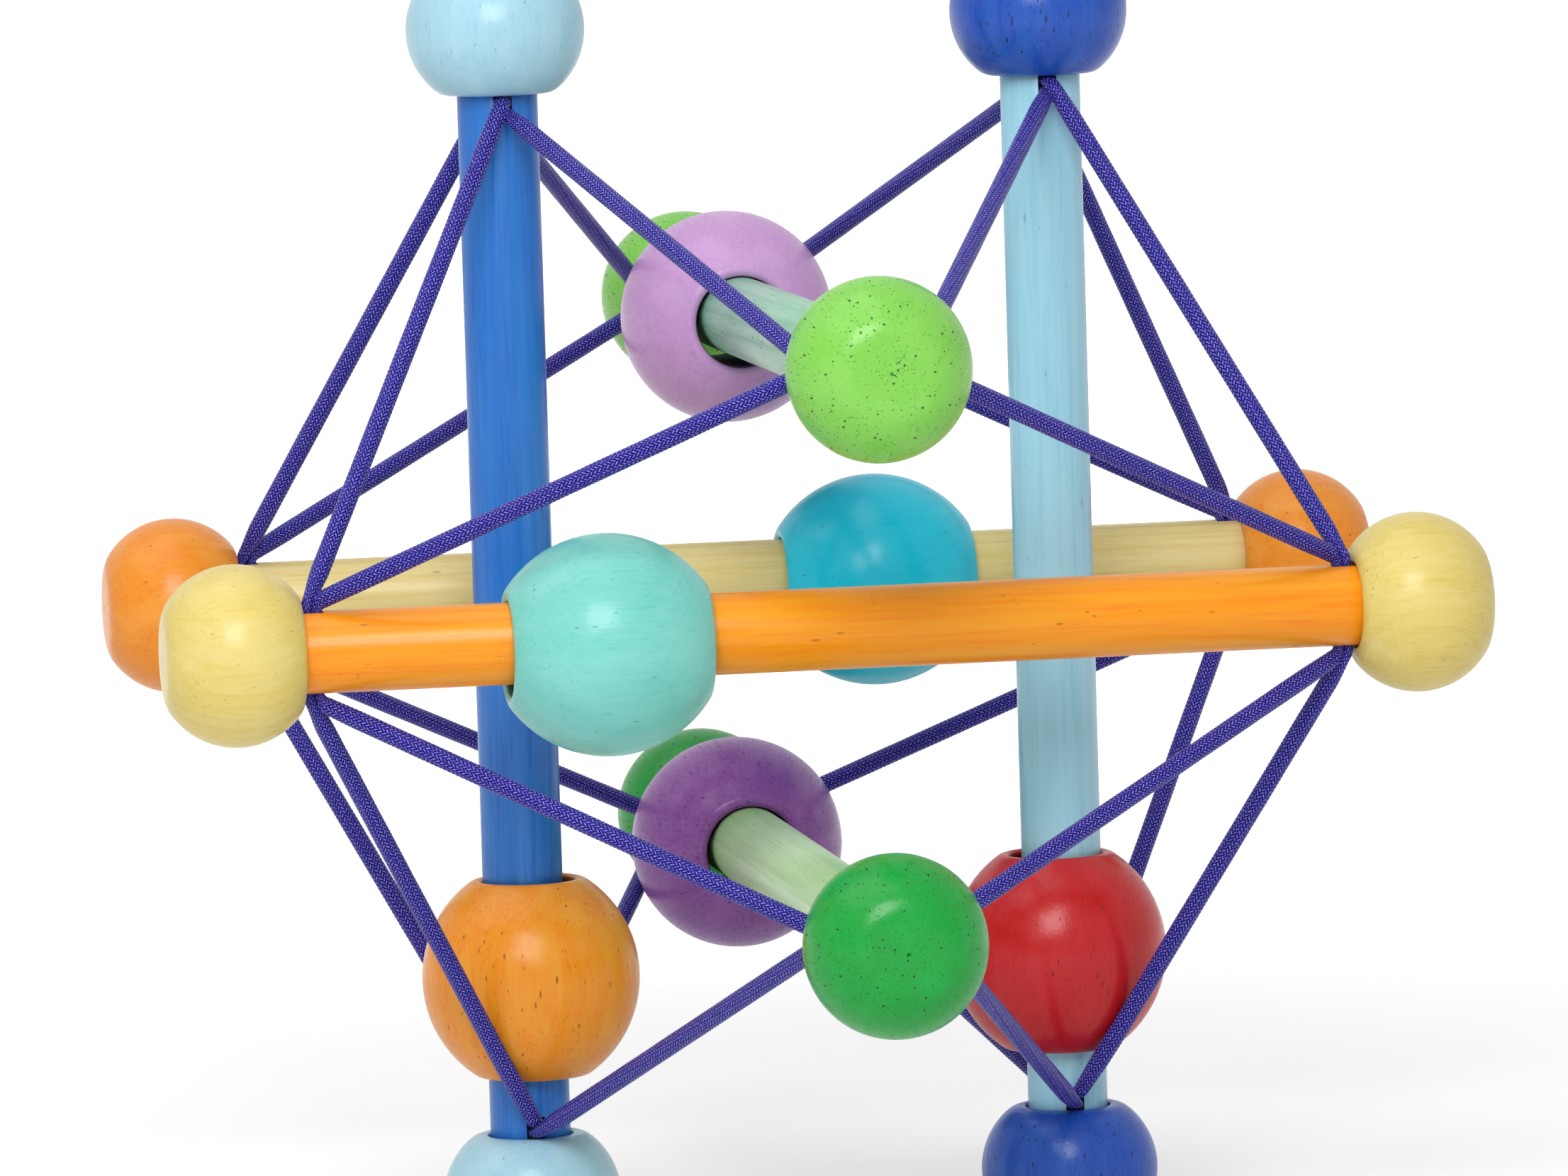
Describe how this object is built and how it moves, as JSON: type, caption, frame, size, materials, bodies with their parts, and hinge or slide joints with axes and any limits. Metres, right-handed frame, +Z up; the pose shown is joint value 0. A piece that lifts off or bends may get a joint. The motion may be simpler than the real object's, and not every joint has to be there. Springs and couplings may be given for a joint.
{
  "type": "wooden rattle",
  "caption": "Squeezable wooden rattle: parallel pairs of crossed dowels held apart by elastic cord loops, with rounded end knobs and a loose bead sliding on each dowel.",
  "frame": {"origin": "the middle of the toy, where the three pairs of dowels would cross, at the centre of its box", "axes": "+Z up along the upright dowels, +X to the right along the orange dowel as the picture's viewer stands, +Y away from that viewer along the mint dowel"},
  "size_m": [0.1556, 0.1556, 0.1556],
  "materials": {
    "blue_wood": "stained and clear-coated hardwood, semi-gloss",
    "light_blue_wood": "stained and clear-coated hardwood, semi-gloss",
    "amber_wood": "stained and clear-coated hardwood, semi-gloss",
    "sky_wood": "stained and clear-coated hardwood, semi-gloss",
    "royal_blue_wood": "stained and clear-coated hardwood, semi-gloss",
    "red_wood": "stained and clear-coated hardwood, semi-gloss",
    "orange_wood": "stained and clear-coated hardwood, semi-gloss",
    "pale_yellow_wood": "stained and clear-coated hardwood, semi-gloss",
    "teal_wood": "stained and clear-coated hardwood, semi-gloss",
    "cream_yellow_wood": "stained and clear-coated hardwood, semi-gloss",
    "deep_orange_wood": "stained and clear-coated hardwood, semi-gloss",
    "cyan_wood": "stained and clear-coated hardwood, semi-gloss",
    "mint_wood": "stained and clear-coated hardwood, semi-gloss",
    "lime_wood": "stained and clear-coated hardwood, semi-gloss",
    "lilac_wood": "stained and clear-coated hardwood, semi-gloss",
    "pale_green_wood": "stained and clear-coated hardwood, semi-gloss",
    "green_wood": "stained and clear-coated hardwood, semi-gloss",
    "purple_wood": "stained and clear-coated hardwood, semi-gloss",
    "violet_cord": "braided elastic cord, matt"
  },
  "bodies": {
    "rod_frame": {"orange_rod": "orange_wood", "orange_rod_right_knob": "pale_yellow_wood", "orange_rod_left_knob": "pale_yellow_wood", "yellow_rod": "cream_yellow_wood", "yellow_rod_right_knob": "deep_orange_wood", "yellow_rod_left_knob": "deep_orange_wood", "mint_rod": "mint_wood", "mint_rod_back_knob": "lime_wood", "mint_rod_front_knob": "lime_wood", "pale_green_rod": "pale_green_wood", "pale_green_rod_back_knob": "green_wood", "pale_green_rod_front_knob": "green_wood", "blue_rod_cord_loop": "violet_cord", "sky_rod_cord_loop": "violet_cord", "orange_rod_cord_loop": "violet_cord", "yellow_rod_cord_loop": "violet_cord", "mint_rod_cord_loop": "violet_cord", "pale_green_rod_cord_loop": "violet_cord"},
    "blue_rod_group": {"blue_rod": "blue_wood", "blue_rod_top_knob": "light_blue_wood", "blue_rod_bottom_knob": "light_blue_wood"},
    "sky_rod_group": {"sky_rod": "sky_wood", "sky_rod_top_knob": "royal_blue_wood", "sky_rod_bottom_knob": "royal_blue_wood"},
    "orange_bead": {"orange_bead": "amber_wood"},
    "red_bead": {"red_bead": "red_wood"},
    "teal_bead": {"teal_bead": "teal_wood"},
    "cyan_bead": {"cyan_bead": "cyan_wood"},
    "lilac_bead": {"lilac_bead": "lilac_wood"},
    "purple_bead": {"purple_bead": "purple_wood"}
  },
  "joints": [
    {"name": "blue_rod_squeeze", "type": "slide", "parent": "rod_frame", "child": "blue_rod_group", "axis": [1, 0, 0], "range_m": [-0.003, 0.008], "stiffness_N_per_m": 600, "deforming": ["blue_rod_cord_loop", "mint_rod_cord_loop", "pale_green_rod_cord_loop"]},
    {"name": "sky_rod_squeeze", "type": "slide", "parent": "rod_frame", "child": "sky_rod_group", "axis": [-1, 0, 0], "range_m": [-0.003, 0.008], "stiffness_N_per_m": 600, "deforming": ["sky_rod_cord_loop", "mint_rod_cord_loop", "pale_green_rod_cord_loop"]},
    {"name": "orange_bead_slide", "type": "slide", "parent": "blue_rod_group", "child": "orange_bead", "axis": [0, 0, 1], "range_m": [0, 0.086]},
    {"name": "red_bead_slide", "type": "slide", "parent": "sky_rod_group", "child": "red_bead", "axis": [0, 0, 1], "range_m": [0, 0.086]},
    {"name": "teal_bead_slide", "type": "slide", "parent": "rod_frame", "child": "teal_bead", "axis": [1, 0, 0], "range_m": [-0.0149, 0.0673]},
    {"name": "cyan_bead_slide", "type": "slide", "parent": "rod_frame", "child": "cyan_bead", "axis": [1, 0, 0], "range_m": [-0.0576, 0.0246]},
    {"name": "lilac_bead_slide", "type": "slide", "parent": "rod_frame", "child": "lilac_bead", "axis": [0, 1, 0], "range_m": [-0.0797, 0.0049]},
    {"name": "purple_bead_slide", "type": "slide", "parent": "rod_frame", "child": "purple_bead", "axis": [0, 1, 0], "range_m": [-0.0833, 0]}
  ]
}
